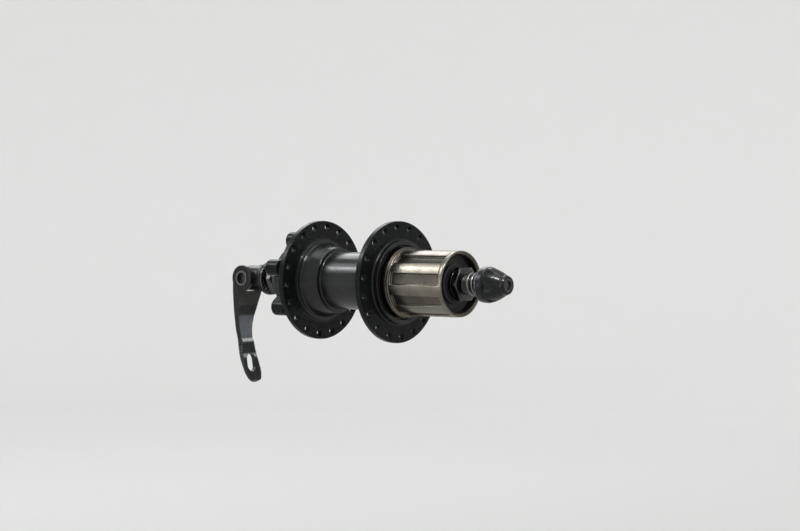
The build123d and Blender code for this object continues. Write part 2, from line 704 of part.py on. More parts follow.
with BuildPart() as qr_lever:
    # side view: a boss round the cam axis, then a blade that curls inwards to its tip
    with BuildSketch(Plane.YZ.offset(LEVER_OUT)) as side_outline:
        with BuildLine():
            outer = Spline(
                (CAM_Y + 7.0, -2.0),
                (92.6, -12.5),
                (91.4, -24.0),
                (90.0, -32.3),
                (88.4, -40.8),
                (86.7, -47.0),
                (84.7, -53.0),
                (82.6, -58.6),
            )
            inner = Spline(
                (80.4, -57.2),
                (82.3, -51.6),
                (84.3, -45.0),
                (85.7, -38.0),
                (86.8, -31.0),
                (87.4, -23.0),
                (87.6, -15.0),
                (87.5, LEVER_ROOT),
            )
            Line(outer @ 1, inner @ 0)
            Polyline(inner @ 1, (84.0, -5.5), (CAM_Y, 0.0), outer @ 0)
        make_face()
        with Locations((CAM_Y, 0)):
            Circle(LEVER_BOSS_R)
    extrude(side_outline.sketch, amount=CHEEK_OUT - LEVER_OUT)
    # front view: a cheek each side of the housing, root across under it, waist, paddle
    with BuildSketch(Plane.XZ.offset(-100.0)) as front_outline:
        with BuildLine():
            Polyline(
                (LEVER_OUT, 8.0),
                (LEVER_IN, 8.0),
                (LEVER_IN, LEVER_ROOT),
                (CHEEK_IN, LEVER_ROOT),
                (CHEEK_IN, 8.0),
                (CHEEK_OUT, 8.0),
                (CHEEK_OUT, -8.0),
            )
            Spline(
                (CHEEK_OUT, -8.0),
                (6.6, -12.0),
                (4.0, -18.0),
                (1.3, -24.5),
                (-0.2, -32.0),
                (0.1, -38.0),
                (1.4, -44.0),
                (2.2, -50.0),
                (1.4, -55.5),
                (-2.2, -59.0),
            )
            left = Spline(
                (-2.2, -59.0),
                (-6.8, -56.8),
                (-9.0, -50.0),
                (-9.5, -44.0),
                (-9.2, -37.0),
                (LEVER_OUT, -30.0),
            )
            Line(left @ 1, (LEVER_OUT, 8.0))
        make_face()
    extrude(front_outline.sketch, amount=30.0, mode=Mode.INTERSECT)
    # paddle window
    with BuildSketch(Plane.XZ.offset(-100.0)) as window:
        with Locations((-4.0, -47.4)):
            SlotOverall(10.0, 6.2, rotation=82)
    extrude(window.sketch, amount=30.0, mode=Mode.SUBTRACT)
    with BuildSketch(Plane.YZ.offset(LEVER_OUT)) as shaft_hole:
        with Locations((CAM_Y, 0)):
            Circle(CAM_HEAD_R)
    extrude(shaft_hole.sketch, amount=LEVER_IN - LEVER_OUT, mode=Mode.SUBTRACT)
    with BuildSketch(Plane.YZ.offset(CHEEK_IN)) as stub_hole:
        with Locations((CAM_Y, 0)):
            Circle(CAP_THREAD_R)
    extrude(stub_hole.sketch, amount=CHEEK_OUT - CHEEK_IN, mode=Mode.SUBTRACT)
qr_lever.part.label = "qr_lever"
export_step(qr_lever.part, "parts/qr_lever.step")

# ---- Skewer rod ---------------------------------------------------------------------------------
with BuildPart() as skewer_rod:
    turned(
        (0, ROD_END),
        (ROD_R - 0.4, ROD_END),
        (ROD_R, ROD_END + 0.4),
        (ROD_R, ROD_HEAD_START + 1),
        (0, ROD_HEAD_START + 1),
    )
    with BuildSketch(Plane.YZ.offset(-ROD_HEAD_HALF)) as head:
        with Locations((CAM_Y + CAM_LIFT, 0)):
            Circle(ROD_HEAD_R)
        with Locations(((ROD_HEAD_START + CAM_Y + CAM_LIFT) / 2, 0)):
            Rectangle(CAM_Y + CAM_LIFT - ROD_HEAD_START, 2 * ROD_HEAD_R)
    extrude(head.sketch, amount=2 * ROD_HEAD_HALF)
    with BuildSketch(Plane.YZ.offset(-ROD_HEAD_HALF)) as eye:
        with Locations((CAM_Y + CAM_LIFT, 0)):
            SlotCenterToCenter(2 * CAM_LIFT, 2 * (CAM_R + EYE_GAP), rotation=90)
    extrude(eye.sketch, amount=2 * ROD_HEAD_HALF, mode=Mode.SUBTRACT)
skewer_rod.part.label = "skewer_rod"
export_step(skewer_rod.part, "parts/skewer_rod.step")

# ---- Quick release, nut end ---------------------------------------------------------------------
with BuildPart() as right_spring:
    coil(SPRING_R, SPRING_WIRE_R, NUT_POCKET_FLOOR + 0.6, -71.4, 4)
right_spring.part.label = "right_spring"
export_step(right_spring.part, "parts/right_spring.step")

with BuildPart() as qr_nut:
    turned(
        (ROD_R + THREAD_GAP, NUT_POCKET_FLOOR),
        (SPRING_POCKET_R, NUT_POCKET_FLOOR),
        (SPRING_POCKET_R, NUT_FACE - 1.3),
        (CLAMP_R, NUT_FACE - 1.3),
        (CLAMP_R, -82.6),
        (9.1, -83.2),
        (8.7, -85.0),
        (7.9, -87.2),
        (6.6, -89.8),
        (5.6, -91.6),
        (5.1, -92.2),
        (5.1, -93.0),
        (4.6, -94.0),
        (4.0, NUT_TIP),
        (INSERT_R, NUT_TIP),
        (INSERT_R, NUT_THREAD_END),
        (ROD_R + THREAD_GAP, NUT_THREAD_END),
    )
    # finger scallops
    scallops = 6
    for step in range(scallops):
        with BuildSketch(across(-83.6, 360 / scallops * step + 12)) as scallop:
            with Locations((11.0, 0)):
                Circle(3.2)
        extrude(scallop.sketch, amount=7.6, taper=-8, mode=Mode.SUBTRACT)
qr_nut.part.label = "qr_nut"
export_step(qr_nut.part, "parts/qr_nut.step")

with BuildPart() as nut_insert:
    tube(INSERT_R, ROD_R + THREAD_GAP, NUT_TIP + 0.3, NUT_THREAD_END)
nut_insert.part.label = "nut_insert"
export_step(nut_insert.part, "parts/nut_insert.step")

with BuildPart() as nut_clamp_ring:
    clamp_ring(NUT_FACE, -1)
nut_clamp_ring.part.label = "nut_clamp_ring"
export_step(nut_clamp_ring.part, "parts/nut_clamp_ring.step")
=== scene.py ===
from math import cos, degrees, exp, log, pi, radians, sin, sqrt, tau

import bmesh
import bpy
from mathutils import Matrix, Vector


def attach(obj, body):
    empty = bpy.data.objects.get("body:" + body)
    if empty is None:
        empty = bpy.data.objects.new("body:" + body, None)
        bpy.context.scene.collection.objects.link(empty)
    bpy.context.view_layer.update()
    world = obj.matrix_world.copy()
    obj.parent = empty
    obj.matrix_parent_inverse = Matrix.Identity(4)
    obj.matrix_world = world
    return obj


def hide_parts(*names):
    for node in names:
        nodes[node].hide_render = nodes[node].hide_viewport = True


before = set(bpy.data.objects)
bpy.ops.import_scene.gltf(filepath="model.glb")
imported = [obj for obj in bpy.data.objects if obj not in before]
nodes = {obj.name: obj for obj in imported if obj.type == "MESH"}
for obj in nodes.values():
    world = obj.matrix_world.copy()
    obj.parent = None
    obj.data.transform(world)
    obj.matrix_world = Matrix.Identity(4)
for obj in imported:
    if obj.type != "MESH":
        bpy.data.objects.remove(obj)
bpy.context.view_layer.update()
scene = bpy.context.scene

MM = 0.001

# ---- Sizes and places in millimetres, repeated from the CAD model ---------------------------------
AXLE_R = 5.0
AXLE_BORE_R = 2.8
AXLE_END = 73.0
AXLE_PITCH = 1.0
FLANGE_R = 32.3
HALF_FLANGE = 1.6          # half of a flange's thickness
RIGHT_FLANGE = -20.5       # middle planes of the flanges
LEFT_FLANGE = 34.0
SPOKES = 18                # in each flange
SPOKE_CIRCLE_R = 29.0
SPOKE_HOLE_R = 1.3
RIGHT_PHASE = 13.5         # degrees from +X towards +Z
LEFT_PHASE = 3.5
BARREL_R = 15.5
FLARE_R = 20.4
FLARE_START = -18.0
FLARE_LENGTH = 6.6
COLLAR_R = 22.2
COLLAR_BORE_R = 19.6
COLLAR_END = -25.5
COLLAR_FLOOR = -23.6
CONE_START_R = 17.7        # the cone between the barrel and the left flange
CONE_START = 21.1
CONE_END_R = 20.3
CONE_END = 30.2
SHOULDER_R = 22.1
SHOULDER = 31.3
NECK_R = 17.5
CUP_SEAT_R = 14.0
CUP_SEAT_FLOOR = 44.0
CAVITY_R = 12.0
CAVITY_END = -3.0
BOLT_R = 7.5
SOCKET_R = 12.2
SOCKET_FLOOR = -13.0
PILOT_R = 17.0
PILOT_END = 54.2
DISC_FACE = 52.2
DISC_BACK = 43.5
DISC_BOLTS = 6
DISC_CIRCLE_R = 22.0
DISC_HOLE_R = 2.1
DISC_LOBE_R = 4.6
DISC_VALLEY_R = 18.9
DISC_PHASE = 42.0          # degrees from +X towards +Z
CAM_Y = 86.0
WINDOW_X = -4.0            # middle of the window in the lever's paddle


# ---- Colours ------------------------------------------------------------------------------------
def grey(level):
    return (level, level, level, 1.0)


def tinted(colour, factor):
    """A lighter or darker version of a colour."""
    return [min(1.0, channel * factor) for channel in colour[:3]] + [1.0]


DUST = (0.16, 0.15, 0.13, 1.0)
# painted shade colour, laid into the hollows and recesses of steel parts
RECESS_SHADE = (0.028, 0.024, 0.02, 1.0)


# ---- Material tools -----------------------------------------------------------------------------
class Graph:
    """A short way to write a material's nodes."""

    def __init__(self, name):
        self.material = bpy.data.materials.new(name)
        self.material.use_nodes = True
        self.tree = self.material.node_tree
        self.shader = self.tree.nodes["Principled BSDF"]
        self.place = self.add("ShaderNodeTexCoord").outputs["Object"]

    def add(self, kind, **settings):
        node = self.tree.nodes.new(kind)
        for key, value in settings.items():
            setattr(node, key, value)
        return node

    def link(self, source, target):
        self.tree.links.new(source, target)

    def feed(self, socket, value):
        """Give a socket a number, a colour or another node's output."""
        if isinstance(value, bpy.types.NodeSocket):
            self.link(value, socket)
        else:
            socket.default_value = value

    def math(self, operation, a, b=0.0):
        node = self.add("ShaderNodeMath", operation=operation)
        self.feed(node.inputs[0], a)
        self.feed(node.inputs[1], b)
        return node.outputs[0]

    def split(self, vector):
        """The three parts of a vector."""
        node = self.add("ShaderNodeSeparateXYZ")
        self.link(vector, node.inputs[0])
        return node.outputs

    def noise(self, scale, detail=3.0, roughness=0.5, where=None):
        node = self.add("ShaderNodeTexNoise")
        self.link(where or self.place, node.inputs["Vector"])
        node.inputs["Scale"].default_value = scale
        node.inputs["Detail"].default_value = detail
        node.inputs["Roughness"].default_value = roughness
        return node.outputs["Fac"]

    def spread(self, value, low, high, to_low=0.0, to_high=1.0):
        """Map a stretch of values to another, and hold it at both ends."""
        node = self.add("ShaderNodeMapRange")
        self.link(value, node.inputs["Value"])
        node.inputs["From Min"].default_value = low
        node.inputs["From Max"].default_value = high
        node.inputs["To Min"].default_value = to_low
        node.inputs["To Max"].default_value = to_high
        return node.outputs["Result"]

    def mix(self, factor, a, b):
        node = self.add("ShaderNodeMix", data_type="RGBA")
        self.feed(node.inputs["Factor"], factor)
        self.feed(node.inputs["A"], a)
        self.feed(node.inputs["B"], b)
        return node.outputs["Result"]

    def turned_place(self, along_x=False, centre=(0.0, 0.0, 0.0)):
        """Coordinates (radius, place along the axis) for marks left by a lathe."""
        shift = self.add("ShaderNodeVectorMath", operation="SUBTRACT")
        self.link(self.place, shift.inputs[0])
        shift.inputs[1].default_value = centre
        x, y, z = self.split(shift.outputs[0])
        if along_x:
            x, y = y, x
        squares = self.math("ADD", self.math("MULTIPLY", x, x), self.math("MULTIPLY", z, z))
        radius = self.math("SQRT", squares)
        join = self.add("ShaderNodeCombineXYZ")
        self.link(radius, join.inputs[0])
        self.link(y, join.inputs[1])
        return join.outputs[0]

    def eased(self, radius_mm):
        """The surface normal with its edges slightly broken."""
        bevel = self.add("ShaderNodeBevel", samples=4)
        bevel.inputs["Radius"].default_value = radius_mm * MM
        return bevel.outputs[0]

    def edges(self, radius_mm):
        """One near an outer or inner edge and nought elsewhere, from a softened normal."""
        softened_normal = self.eased(radius_mm)
        geometry = self.add("ShaderNodeNewGeometry")
        dot = self.add("ShaderNodeVectorMath", operation="DOT_PRODUCT")
        self.link(softened_normal, dot.inputs[0])
        self.link(geometry.outputs["Normal"], dot.inputs[1])
        away = self.math("SUBTRACT", 1.0, dot.outputs["Value"])
        return self.spread(away, 0.03, 0.30)

    def band(self, upper, lower):
        """One between two heights, in millimetres, on the side turned to the spokes, with soft ends."""
        soft = 0.6
        height = self.split(self.place)[2]
        below = self.spread(height, (upper + soft) * MM, (upper - soft) * MM)
        above = self.spread(height, (lower - soft) * MM, (lower + soft) * MM)
        facing = self.split(self.add("ShaderNodeNewGeometry").outputs["Normal"])[1]
        inner = self.spread(facing, -0.3, -0.8)
        return self.math("MULTIPLY", inner, self.math("MULTIPLY", below, above))

    def bump(self, height, strength, distance_mm, normal):
        node = self.add("ShaderNodeBump")
        node.inputs["Strength"].default_value = strength
        node.inputs["Distance"].default_value = distance_mm * MM
        self.link(height, node.inputs["Height"])
        self.link(normal, node.inputs["Normal"])
        return node.outputs["Normal"]

    def finish(self, color=None, rough=None, normal=None, **constants):
        for name, value in (("Base Color", color), ("Roughness", rough), ("Normal", normal)):
            if value is not None:
                self.feed(self.shader.inputs[name], value)
        for name, value in constants.items():
            self.shader.inputs[name.replace("_", " ")].default_value = value
        return self.material


def anodised(name, base, worn, gloss, grain_mm, shine, turned=True, reflection_bands=(), barrel=None):
    """Black anodised or coated alloy: fine grain, lathe marks, dust, worn edges and bands of painted
    reflection.

    Each painted reflection band is (upper height, lower height, amount, colour) on faces turned to the spokes.
    A barrel is (its own shine, and the two radii between which that fades to the rest's).
    """
    g = Graph(name)
    cloud = g.noise(90.0, 4.0, 0.6)
    grain = g.noise(1.0 / (grain_mm * MM), 2.0, 0.6)
    fleck = g.noise(2600.0, 2.0, 0.7)
    edge = g.edges(0.25)
    rub = g.math("MULTIPLY", edge, g.spread(g.noise(420.0, 5.0, 0.7), 0.44, 0.64))
    colour = g.mix(g.spread(cloud, 0.35, 0.7), base, tinted(base, 1.6))
    dust = g.math("MULTIPLY", g.spread(g.noise(38.0, 6.0, 0.65), 0.5, 0.75), 0.03)
    colour = g.mix(dust, colour, DUST)
    colour = g.mix(g.math("MULTIPLY", rub, 0.35), colour, worn)
    # painted reflections and highlights, laid as lighter bands across the faces turned to the spokes
    for upper, lower, amount, tone in reflection_bands:
        reflection_breakup = g.spread(g.noise(700.0, 4.0, 0.7), 0.25, 0.6, 0.5, 1.0)
        band = g.math("MULTIPLY", g.band(upper, lower), reflection_breakup)
        colour = g.mix(g.math("MULTIPLY", band, amount), colour, tone)
    clouded = g.spread(cloud, 0.3, 0.7, gloss - 0.05, gloss + 0.07)
    rough = g.math("ADD", clouded, g.spread(fleck, 0.55, 0.75, 0.0, 0.08))
    normal = g.eased(0.22)
    if turned:
        lines = g.noise(3400.0, 3.0, 0.6, where=g.turned_place())
        rough = g.math("ADD", rough, g.spread(lines, 0.35, 0.65, -0.03, 0.04))
        normal = g.bump(lines, 0.10, 0.02, normal)
    normal = g.bump(grain, 0.14, 0.02, normal)
    if barrel:
        polish, low, high = barrel
        radius = g.split(g.turned_place())[0]
        shine = g.spread(radius, low * MM, high * MM, polish, shine)
    g.feed(g.shader.inputs["Specular IOR Level"], shine)
    return g.finish(colour, rough, normal, Metallic=0.0)


def steel(
    name, base, stain, gloss, lines_on=0.25, stain_on=0.5, shade_on=0.8, edge_on=0.35,
    dark_within=None, dark_beyond=None, about=(0.0, 0.0, 0.0), along_x=False,
):
    """Turned or ground steel with tool marks, stains, painted shade in its hollows and brighter rubbed edges.

    Painted shade darkens it within a radius, given as the two ends of its fade, and beyond a place along the
    axis.
    """
    g = Graph(name)
    turned = g.turned_place(along_x, about)
    lines = g.noise(2600.0, 4.0, 0.65, where=turned)
    cloud = g.noise(120.0, 5.0, 0.6)
    spots = g.noise(900.0, 3.0, 0.7)
    edge = g.edges(0.22)
    colour = g.mix(g.spread(cloud, 0.38, 0.68, 0.0, stain_on), base, stain)
    colour = g.mix(g.spread(lines, 0.3, 0.7, 0.0, 0.22), colour, tinted(base, 0.72))
    colour = g.mix(g.spread(spots, 0.64, 0.72, 0.0, 0.35), colour, stain)
    # painted shade: darker within a radius and beyond a place along the axis, standing in for shade in the
    # hollows
    if dark_within:
        radius, along, _ = g.split(turned)
        low, high = dark_within
        painted_shade = g.spread(radius, low * MM, high * MM, shade_on, 0.0)
        if dark_beyond is not None:
            start, end = (dark_beyond - 0.4) * MM, (dark_beyond + 0.4) * MM
            painted_shade = g.math("MAXIMUM", painted_shade, g.spread(along, start, end, 0.0, shade_on))
        uneven = g.spread(cloud, 0.2, 0.6, 0.75, 1.0)
        colour = g.mix(g.math("MULTIPLY", painted_shade, uneven), colour, RECESS_SHADE)
    colour = g.mix(g.math("MULTIPLY", edge, edge_on), colour, tinted(base, 1.9))
    lined = g.spread(lines, 0.3, 0.7, gloss - 0.07, gloss + 0.07)
    rough = g.math("ADD", lined, g.spread(cloud, 0.3, 0.7, -0.03, 0.06))
    normal = g.bump(lines, lines_on, 0.02, g.eased(0.12))
    normal = g.bump(g.noise(5200.0, 2.0), 0.08, 0.02, normal)
    return g.finish(colour, rough, normal, Metallic=1.0)


def rubber(name, base, gloss):
    """Moulded black rubber or nylon with a matt skin."""
    g = Graph(name)
    skin = g.noise(2200.0, 4.0, 0.6)
    cloud = g.noise(160.0, 4.0, 0.6)
    colour = g.mix(g.spread(cloud, 0.4, 0.7), base, tinted(base, 2.2))
    rough = g.spread(cloud, 0.3, 0.7, gloss - 0.06, gloss + 0.08)
    normal = g.bump(skin, 0.22, 0.03, g.eased(0.15))
    return g.finish(colour, rough, normal, Metallic=0.0, Specular_IOR_Level=0.4)


# ---- Materials ----------------------------------------------------------------------------------
SHELL_BLACK = anodised(
    "shell_black", (0.0035, 0.0042, 0.0042, 1.0), grey(0.16), 0.19, 0.25, shine=0.11, barrel=(0.34, 21.5, 23.5)
)
QR_BLACK = anodised("qr_black", (0.006, 0.0065, 0.007, 1.0), grey(0.24), 0.24, 0.30, shine=0.22, turned=False)
LEVER_BLACK = anodised(
    "lever_black", (0.006, 0.0065, 0.007, 1.0), grey(0.24), 0.24, 0.30, shine=0.22, turned=False,
    # painted reflections and highlights on the lever's inner face, as lighter bands
    reflection_bands=(
        (-7.0, -15.5, 0.14, (0.20, 0.19, 0.15, 1.0)),
        (-21.0, -33.4, 0.40, (0.26, 0.29, 0.32, 1.0)),
        (-33.9, -35.6, 0.85, (0.55, 0.56, 0.57, 1.0)),
        (-42.5, -44.5, 0.55, (0.50, 0.51, 0.52, 1.0)),
    ),
)
NUT_BLACK = anodised("nut_black", (0.005, 0.0055, 0.006, 1.0), grey(0.24), 0.16, 0.30, shine=0.22)
# painted shade in the spline roots and on the base ring
FREEHUB_STEEL = steel(
    "freehub_steel", (0.19, 0.172, 0.145, 1.0), (0.085, 0.068, 0.048, 1.0), 0.22, shade_on=0.6, edge_on=0.2,
    dark_within=(16.3, 17.1), dark_beyond=-28.4,
)
AXLE_STEEL = steel("axle_steel", (0.075, 0.074, 0.072, 1.0), (0.03, 0.026, 0.022, 1.0), 0.28)
NUT_STEEL = steel("nut_steel", (0.075, 0.076, 0.078, 1.0), (0.03, 0.026, 0.024, 1.0), 0.28)
BEARING_STEEL = steel(
    "bearing_steel", grey(0.60), (0.35, 0.33, 0.30, 1.0), 0.16, lines_on=0.05, stain_on=0.2
)
BRIGHT_STEEL = steel("bright_steel", grey(0.52), (0.30, 0.28, 0.26, 1.0), 0.26)
# painted shade near the cam's axis
CAM_STEEL = steel(
    "cam_steel", (0.13, 0.13, 0.133, 1.0), (0.04, 0.038, 0.035, 1.0), 0.26,
    dark_within=(2.9, 3.6), about=(0.0, CAM_Y * MM, 0.0), along_x=True,
)
SPRING_STEEL = steel("spring_steel", grey(0.30), (0.14, 0.12, 0.10, 1.0), 0.30)
SEAL_RUBBER = rubber("seal_rubber", grey(0.012), 0.62)
NYLON = rubber("insert_nylon", (0.02, 0.02, 0.021, 1.0), 0.48)

FINISH = {
    SHELL_BLACK: ["hub_shell"],
    QR_BLACK: ["qr_housing", "cam_cap_nut"],
    LEVER_BLACK: ["qr_lever"],
    NUT_BLACK: ["qr_nut"],
    FREEHUB_STEEL: ["freehub_body", "ratchet_ring"],
    AXLE_STEEL: [
        "axle", "left_cone", "right_cone", "left_spacer", "right_spacer", "left_lock_washer",
        "right_lock_washer", "left_dust_cover", "freehub_fixing_bolt",
    ],
    NUT_STEEL: ["left_locknut", "right_locknut", "qr_clamp_ring", "nut_clamp_ring", "skewer_rod"],
    BEARING_STEEL: [
        "left_bearing_cup", "freehub_core", "freehub_cup_cone", "outer_race_ring", "pawl_1", "pawl_2",
        "pawl_3", "left_balls", "right_balls", "freehub_inner_balls", "freehub_outer_balls",
    ],
    BRIGHT_STEEL: ["pawl_spring"],
    CAM_STEEL: ["cam_shaft"],
    SPRING_STEEL: ["left_spring", "right_spring"],
    SEAL_RUBBER: ["left_cone_seal", "right_cone_seal", "freehub_dust_seal"],
    NYLON: ["nut_insert"],
}
for material, members in FINISH.items():
    for member in members:
        mesh = nodes[member].data
        mesh.materials.clear()
        mesh.materials.append(material)


# ---- Mesh tools ---------------------------------------------------------------------------------
def keep(name, mesh, body, slot, material, *stands_for):
    """Put a finished mesh in the scene as a piece of the object."""
    mesh.materials.clear()
    mesh.materials.append(material)
    piece = bpy.data.objects.new(name, mesh)
    scene.collection.objects.link(piece)
    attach(piece, body)
    for node in stands_for:
        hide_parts(node)
    return piece


def applied(mesh, *modifiers):
    """A new mesh made from one mesh by a chain of (kind, settings) modifiers."""
    holder = bpy.data.objects.new("holder", mesh)
    scene.collection.objects.link(holder)
    for kind, settings in modifiers:
        modifier = holder.modifiers.new(kind.lower(), kind)
        for key, value in settings.items():
            setattr(modifier, key, value)
    graph = bpy.context.evaluated_depsgraph_get()
    result = bpy.data.meshes.new_from_object(holder.evaluated_get(graph))
    bpy.data.objects.remove(holder)
    return result


def softened(node, voxel_mm, passes, ratio=1.0):
    """A copy of a CAD piece with its edges worn round, remeshed evenly."""
    chain = [
        ("REMESH", {"mode": "VOXEL", "voxel_size": voxel_mm * MM}),
        ("SMOOTH", {"factor": 0.5, "iterations": passes}),
    ]
    if ratio < 1.0:
        chain.append(("DECIMATE", {"ratio": ratio}))
    mesh = applied(nodes[node].data.copy(), *chain)
    mesh.shade_smooth()
    return mesh


def worn(node, name, body, slot, material, voxel_mm, passes, ratio=1.0):
    """Show a CAD piece by its softened copy."""
    keep(name, softened(node, voxel_mm, passes, ratio), body, slot, material, node)


def rounded(outline, radius):
    """Round every corner of a closed outline, by less where its sides are short."""
    straight = radians(170)
    steps = 4
    result = []
    count = len(outline)
    for k, point in enumerate(outline):
        corner = Vector(point)
        before = Vector(outline[k - 1]) - corner
        after = Vector(outline[(k + 1) % count]) - corner
        if before.angle(after) > straight:
            result.append(tuple(corner))
            continue
        cut = min(radius, 0.4 * before.length, 0.4 * after.length)
        start = corner + before.normalized() * cut
        end = corner + after.normalized() * cut
        for step in range(steps + 1):
            t = step / steps
            result.append(tuple(start * (1 - t) ** 2 + corner * 2 * t * (1 - t) + end * t * t))
    return result


def circle(radius, y, x=0.0, z=0.0, count=28):
    """A closed loop of points across the axle, in metres."""
    return [
        ((x + radius * cos(tau * k / count)) * MM, y * MM, (z + radius * sin(tau * k / count)) * MM)
        for k in range(count)
    ]


def written(name, bm):
    """Turn a bmesh into a smooth mesh."""
    mesh = bpy.data.meshes.new(name)
    bm.to_mesh(mesh)
    bm.free()
    mesh.shade_smooth()
    return mesh


def lathe(name, outline, corner_r):
    """Turn a closed outline of (radius, y) points, in millimetres, about the axle."""
    points = rounded(outline, corner_r)
    count = 240
    bm = bmesh.new()
    rings = []
    for k in range(count):
        turn = tau * k / count
        rings.append([bm.verts.new((r * cos(turn) * MM, y * MM, r * sin(turn) * MM)) for r, y in points])
    for k in range(count):
        here, there = rings[k], rings[(k + 1) % count]
        for m in range(len(points)):
            n = (m + 1) % len(points)
            bm.faces.new((here[m], here[n], there[n], there[m]))
    bmesh.ops.recalc_face_normals(bm, faces=bm.faces)
    return written(name, bm)


def loft(bm, loops):
    """Join closed loops of the same count into one closed skin, capped at both ends."""
    rings = [[bm.verts.new(point) for point in loop] for loop in loops]
    count = len(rings[0])
    for low, high in zip(rings, rings[1:]):
        for k in range(count):
            after = (k + 1) % count
            bm.faces.new((low[k], low[after], high[after], high[k]))
    bm.faces.new(rings[0])
    bm.faces.new(list(reversed(rings[-1])))


def drilled(mesh, bm):
    """Cut the closed shapes in a bmesh out of a mesh."""
    bmesh.ops.recalc_face_normals(bm, faces=bm.faces)
    tool = bpy.data.objects.new("tool", written("tool", bm))
    scene.collection.objects.link(tool)
    result = applied(mesh, ("BOOLEAN", {"object": tool, "operation": "DIFFERENCE", "solver": "EXACT"}))
    bpy.data.objects.remove(tool)
    return result


def crisp(piece):
    """Keep flat faces flat beside their rounded edges."""
    piece.data.shade_smooth()
    modifier = piece.modifiers.new("weighted", "WEIGHTED_NORMAL")
    modifier.mode = "FACE_AREA"
    modifier.weight = 60


# ---- Hub shell ----------------------------------------------------------------------------------
def shell_outline():
    """The turned section of the shell, outside first and then the bores."""
    right_outer, right_inner = RIGHT_FLANGE - HALF_FLANGE, RIGHT_FLANGE + HALF_FLANGE
    left_inner, left_outer = LEFT_FLANGE - HALF_FLANGE, LEFT_FLANGE + HALF_FLANGE
    steps = 8
    flare = []
    for step in range(steps + 1):
        turn = pi / 2 * step / steps
        radius = FLARE_R - (FLARE_R - BARREL_R) * sin(turn)
        flare.append((radius, FLARE_START + FLARE_LENGTH * (1 - cos(turn))))
    return [
        (COLLAR_BORE_R, COLLAR_END), (COLLAR_R, COLLAR_END),
        (COLLAR_R, right_outer - 0.7), (COLLAR_R + 0.6, right_outer),
        (FLANGE_R, right_outer), (FLANGE_R, right_inner), (FLARE_R + 1.2, right_inner),
        *flare,
        (BARREL_R, CONE_START - 0.6), (BARREL_R + 0.5, CONE_START),
        (CONE_START_R - 0.3, CONE_START), (CONE_START_R, CONE_START + 0.3),
        (CONE_END_R, CONE_END), (CONE_END_R + 0.4, CONE_END + 0.4),
        (CONE_END_R + 0.4, SHOULDER), (SHOULDER_R - 0.4, SHOULDER),
        (SHOULDER_R, SHOULDER + 0.4), (SHOULDER_R, left_inner),
        (FLANGE_R, left_inner), (FLANGE_R, left_outer), (NECK_R + 1.9, left_outer), (NECK_R, left_outer + 2.0),
        (NECK_R, DISC_FACE), (PILOT_R, DISC_FACE), (PILOT_R, PILOT_END), (CUP_SEAT_R, PILOT_END),
        (CUP_SEAT_R, CUP_SEAT_FLOOR), (CAVITY_R, CUP_SEAT_FLOOR), (CAVITY_R, CAVITY_END),
        (BOLT_R, CAVITY_END), (BOLT_R, SOCKET_FLOOR), (SOCKET_R, SOCKET_FLOOR),
        (SOCKET_R, COLLAR_FLOOR), (COLLAR_BORE_R, COLLAR_FLOOR),
    ]


def spoke_hole(bm, flange, x, z):
    """A cutter for one spoke hole, dished at both faces of its flange."""
    mouth = ((2.15, -0.2), (1.95, 0.0), (1.45, 0.5), (SPOKE_HOLE_R, 0.8))     # radius and depth
    loops = [circle(radius, flange + (depth - HALF_FLANGE), x, z) for radius, depth in mouth]
    loops += [circle(radius, flange + (HALF_FLANGE - depth), x, z) for radius, depth in reversed(mouth)]
    loft(bm, loops)


def shell_skin():
    """The turned shell with both rows of spoke holes."""
    drill = bmesh.new()
    for flange, phase in ((RIGHT_FLANGE, RIGHT_PHASE), (LEFT_FLANGE, LEFT_PHASE)):
        for k in range(SPOKES):
            turn = radians(phase) + tau * k / SPOKES
            spoke_hole(drill, flange, SPOKE_CIRCLE_R * cos(turn), SPOKE_CIRCLE_R * sin(turn))
    body = drilled(lathe("hub_shell", shell_outline(), 0.45), drill)
    crisp(keep("hub_shell_skin", body, "shell", "shell_black", SHELL_BLACK, "hub_shell"))


def lobed_loop(y, inset):
    """The outline of the rotor mount, six pads joined by hollow sides."""
    pitch = 360 / DISC_BOLTS
    sharp = 1.6                # how tightly a pad turns into a hollow side
    loop = []
    count = 360
    for k in range(count):
        turn = tau * k / count
        off = radians((degrees(turn) - DISC_PHASE + pitch / 2) % pitch - pitch / 2)
        reach = DISC_CIRCLE_R * sin(off)
        lobe = 0.0
        if abs(reach) < DISC_LOBE_R:
            lobe = DISC_CIRCLE_R * cos(off) + sqrt(DISC_LOBE_R ** 2 - reach ** 2)
        radius = DISC_VALLEY_R + log(1 + exp(sharp * (lobe - DISC_VALLEY_R))) / sharp - inset
        loop.append((radius * cos(turn) * MM, y * MM, radius * sin(turn) * MM))
    return loop


def rotor_mount_skin():
    """The lobed rotor mount with its bolt holes, rounded at both faces."""
    plate = bmesh.new()
    loft(plate, [
        lobed_loop(y, inset)
        for y, inset in (
            (DISC_BACK, 1.1), (DISC_BACK, 0.6), (DISC_BACK + 0.2, 0.2), (DISC_BACK + 0.6, 0.0),
            (DISC_FACE - 0.5, 0.0), (DISC_FACE - 0.15, 0.15), (DISC_FACE, 0.5), (DISC_FACE, 1.0),
        )
    ])
    bmesh.ops.recalc_face_normals(plate, faces=plate.faces)
    drill = bmesh.new()
    loft(drill, [circle(PILOT_R - 0.4, y, count=120) for y in (DISC_BACK - 1, DISC_FACE + 1)])
    for k in range(DISC_BOLTS):
        turn = radians(DISC_PHASE) + tau * k / DISC_BOLTS
        x, z = DISC_CIRCLE_R * cos(turn), DISC_CIRCLE_R * sin(turn)
        loft(drill, [
            circle(radius, y, x, z)
            for radius, y in (
                (2.8, DISC_BACK - 0.3), (DISC_HOLE_R, DISC_BACK + 0.4),
                (DISC_HOLE_R, DISC_FACE - 0.5), (2.9, DISC_FACE + 0.3),
            )
        ])
    mount = drilled(written("rotor_mount", plate), drill)
    crisp(keep("rotor_mount_skin", mount, "shell", "shell_black", SHELL_BLACK))


shell_skin()
rotor_mount_skin()


